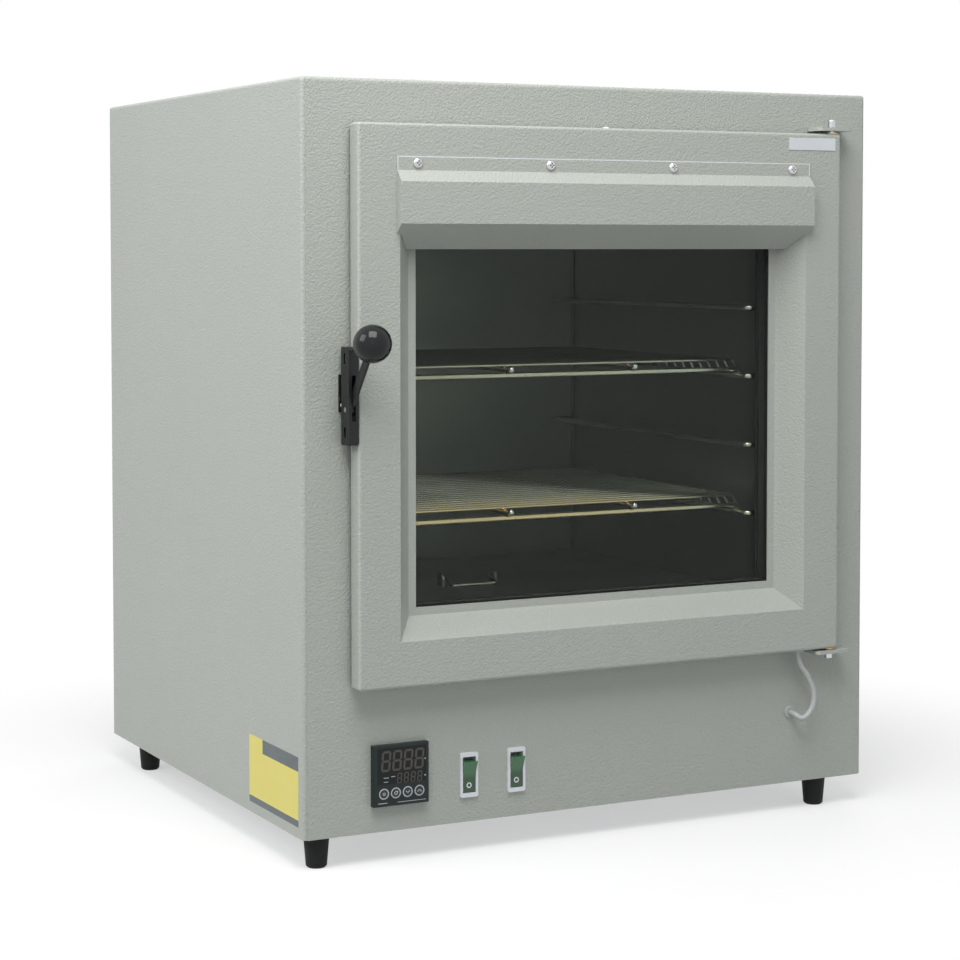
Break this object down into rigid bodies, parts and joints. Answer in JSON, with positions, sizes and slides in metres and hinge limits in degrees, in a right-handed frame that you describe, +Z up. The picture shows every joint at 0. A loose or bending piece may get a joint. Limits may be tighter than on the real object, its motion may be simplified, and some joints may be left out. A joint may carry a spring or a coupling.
{
  "type": "drying_oven",
  "caption": "Benchtop laboratory drying oven with a glazed hinged door, wire shelves on side supports, a ball-knob latch, a small controller and rocker switches",
  "frame": {"origin": "on the bench, midway along the oven's overall width and overall depth", "axes": "+X from the latch side to the hinge side, +Y from the door to the back, +Z up; the door faces -Y"},
  "size_m": [0.535, 0.557, 0.625],
  "materials": {
    "casing_paint": "leather-grain powder coat, pale grey-green",
    "stainless": "bright rolled stainless",
    "rod_steel": "polished wire with a warm heat tint",
    "zinc_steel": "zinc plated",
    "black_metal": "satin black",
    "black_plastic": "moulded",
    "knob_plastic": "polished phenolic",
    "white_plastic": "moulded",
    "green_plastic": "translucent moulded",
    "display_window": "smoked window",
    "key_plastic": "membrane",
    "glass": "clear",
    "lamp_glass": "frosted tube",
    "seal_rubber": "extruded",
    "gasket_silicone": "moulded silicone",
    "foot_rubber": "moulded",
    "cable_sheath": "grey sheath",
    "mineral_wool": "wool",
    "brass_bush": "turned",
    "ceramic": "ceramic"
  },
  "bodies": {
    "cabinet": {"base_pan": "zinc_steel", "cable_gland": "black_plastic", "chamber_insulation": "mineral_wool", "controller_bezel": "black_plastic", "controller_case": "black_plastic", "controller_window": "display_window", "door_cable": "cable_sheath", "floor_plate": "stainless", "foot_front_left": "foot_rubber", "foot_front_right": "foot_rubber", "foot_rear_left": "foot_rubber", "foot_rear_right": "foot_rubber", "front_panel": "casing_paint", "heater_relay": "black_plastic", "heating_element": "zinc_steel", "hinge_bracket_lower": "zinc_steel", "hinge_bracket_upper": "zinc_steel", "hinge_pins": "zinc_steel", "inner_chamber": "stainless", "latch_keeper": "black_metal", "outer_casing": "casing_paint", "panel_grommet": "seal_rubber", "partition_plate": "zinc_steel", "rear_panel": "casing_paint", "rear_panel_screws": "zinc_steel", "shelf_supports_left": "rod_steel", "shelf_supports_right": "rod_steel", "switch_housing_left": "white_plastic", "switch_housing_right": "white_plastic", "temperature_probe": "stainless", "terminal_block": "ceramic", "vent_tube": "stainless"},
    "door": {"door_outer_skin": "casing_paint", "door_inner_panel": "stainless", "door_insulation": "mineral_wool", "outer_glass": "glass", "inner_glass": "glass", "glass_seals": "seal_rubber", "door_gasket": "gasket_silicone", "lamp_visor": "casing_paint", "visor_screws": "zinc_steel", "lamp_tube": "lamp_glass", "lamp_holders": "ceramic", "latch_bracket": "black_metal", "latch_screws": "zinc_steel", "latch_pin": "zinc_steel", "hinge_bushes": "brass_bush", "door_grommet": "seal_rubber"},
    "latch_lever": {"latch_lever": "black_metal", "ball_knob": "knob_plastic"},
    "shelf_upper": {"shelf_upper": "rod_steel"},
    "shelf_lower": {"shelf_lower": "rod_steel"},
    "floor_bail": {"floor_bail": "stainless"},
    "rocker_left": {"rocker_left": "green_plastic"},
    "rocker_right": {"rocker_right": "green_plastic"},
    "key_1": {"controller_key_1": "key_plastic"},
    "key_2": {"controller_key_2": "key_plastic"},
    "key_3": {"controller_key_3": "key_plastic"},
    "key_4": {"controller_key_4": "key_plastic"}
  },
  "joints": [
    {"name": "door_hinge", "type": "hinge", "parent": "cabinet", "child": "door", "pos_m": [0.223, -0.2205, 0.366], "axis": [0, 0, 1], "range_deg": [0, 150], "deforming": ["door_cable"]},
    {"name": "latch_lever_pivot", "type": "hinge", "parent": "door", "child": "latch_lever", "pos_m": [-0.23225, -0.2205, 0.365], "axis": [1, 0, 0], "range_deg": [0, 50]},
    {"name": "rocker_left_pivot", "type": "hinge", "parent": "cabinet", "child": "rocker_left", "pos_m": [-0.1227, -0.205, 0.0636], "axis": [-1, 0, 0], "range_deg": [0, 22]},
    {"name": "rocker_right_pivot", "type": "hinge", "parent": "cabinet", "child": "rocker_right", "pos_m": [-0.0792, -0.205, 0.0636], "axis": [-1, 0, 0], "range_deg": [0, 22]},
    {"name": "shelf_upper_slide", "type": "slide", "parent": "cabinet", "child": "shelf_upper", "axis": [0, -1, 0], "range_m": [-0.018, 0.014]},
    {"name": "shelf_lower_slide", "type": "slide", "parent": "cabinet", "child": "shelf_lower", "axis": [0, -1, 0], "range_m": [-0.018, 0.014]},
    {"name": "floor_bail_hinge", "type": "hinge", "parent": "cabinet", "child": "floor_bail", "pos_m": [-0.0215, -0.0035, 0.194], "axis": [-1, 0, 0], "range_deg": [0, 90]},
    {"name": "key_1_press", "type": "slide", "parent": "cabinet", "child": "key_1", "axis": [0, 1, 0], "range_m": [0, 0.0005], "stiffness_N_per_m": 250, "springref_m": -0.0004},
    {"name": "key_2_press", "type": "slide", "parent": "cabinet", "child": "key_2", "axis": [0, 1, 0], "range_m": [0, 0.0005], "stiffness_N_per_m": 250, "springref_m": -0.0004},
    {"name": "key_3_press", "type": "slide", "parent": "cabinet", "child": "key_3", "axis": [0, 1, 0], "range_m": [0, 0.0005], "stiffness_N_per_m": 250, "springref_m": -0.0004},
    {"name": "key_4_press", "type": "slide", "parent": "cabinet", "child": "key_4", "axis": [0, 1, 0], "range_m": [0, 0.0005], "stiffness_N_per_m": 250, "springref_m": -0.0004}
  ]
}
